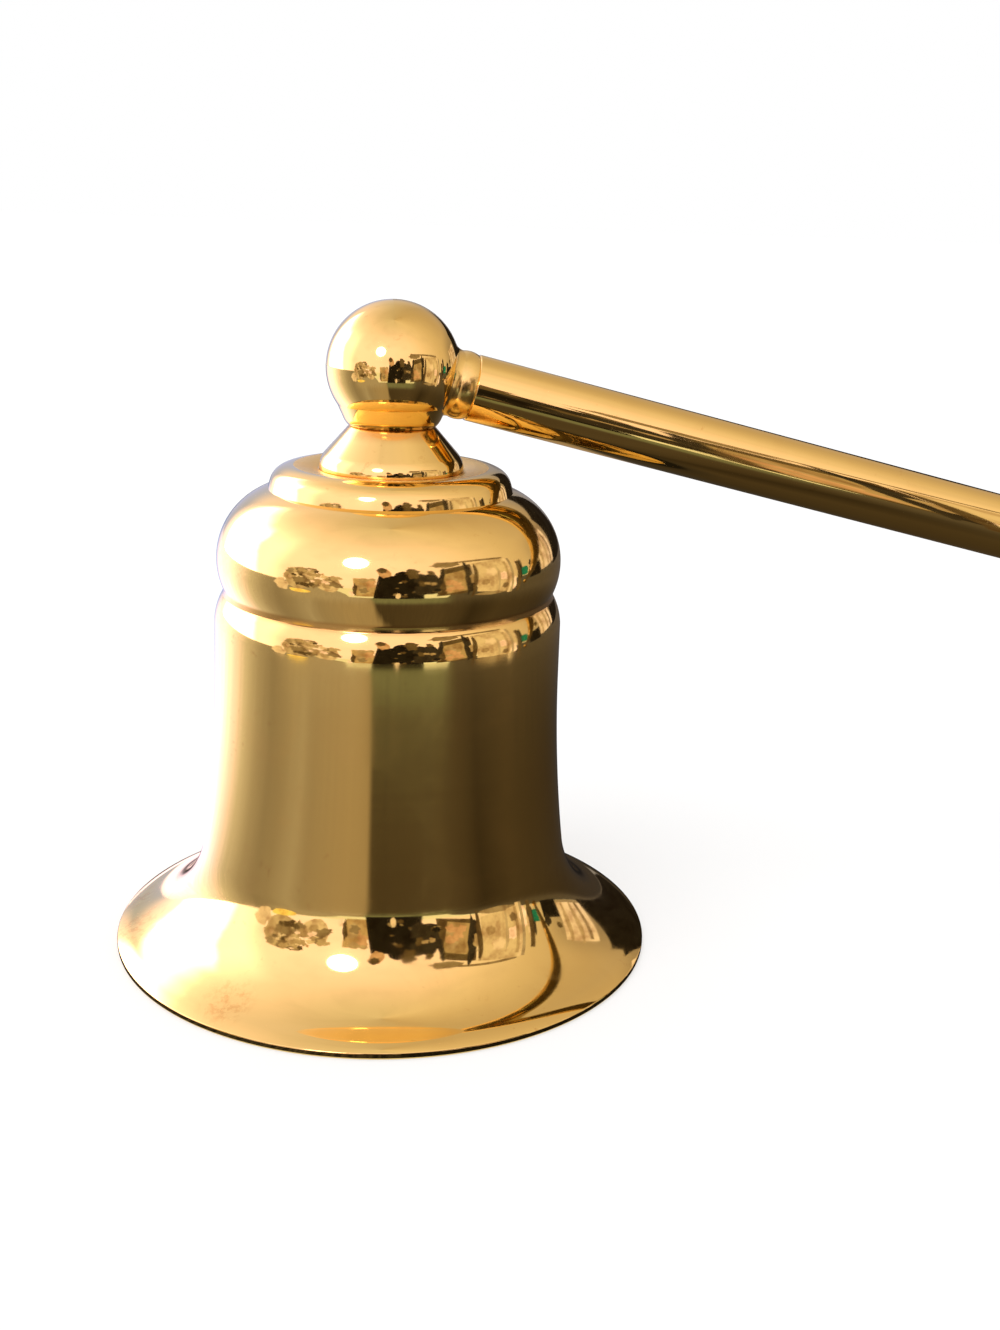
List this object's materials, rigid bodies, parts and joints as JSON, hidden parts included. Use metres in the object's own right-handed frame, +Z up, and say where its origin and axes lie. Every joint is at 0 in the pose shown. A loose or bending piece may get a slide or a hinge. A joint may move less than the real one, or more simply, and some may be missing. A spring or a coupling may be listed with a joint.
{
  "type": "candle snuffer",
  "caption": "Brass candle snuffer: a turned bell with a stepped, domed shoulder and flared lip, swivelling on a ball elbow with a slender sloping handle and an end knob.",
  "frame": {"origin": "centre of the bell's rim, on the flat face that it stands on", "axes": "+Z up along the bell's axis; +X from the bell towards the end of the handle, so the handle lies in the XZ plane"},
  "size_m": [0.177, 0.039, 0.0466],
  "materials": {
    "polished_brass": "polished, softly worn",
    "plain_brass": "as turned, dull",
    "spring_steel": "plain spring steel"
  },
  "bodies": {
    "bell": {"bell": "polished_brass", "neck": "polished_brass", "flat_washer": "plain_brass"},
    "handle": {"ball_elbow": "polished_brass", "swivel_screw": "plain_brass", "spring_washer": "spring_steel", "handle_rod": "polished_brass", "end_knob": "polished_brass"}
  },
  "joints": [
    {"name": "swivel", "type": "hinge", "parent": "bell", "child": "handle", "pos_m": [0, 0, 0.0379], "axis": [0, 0, 1], "continuous": true}
  ]
}
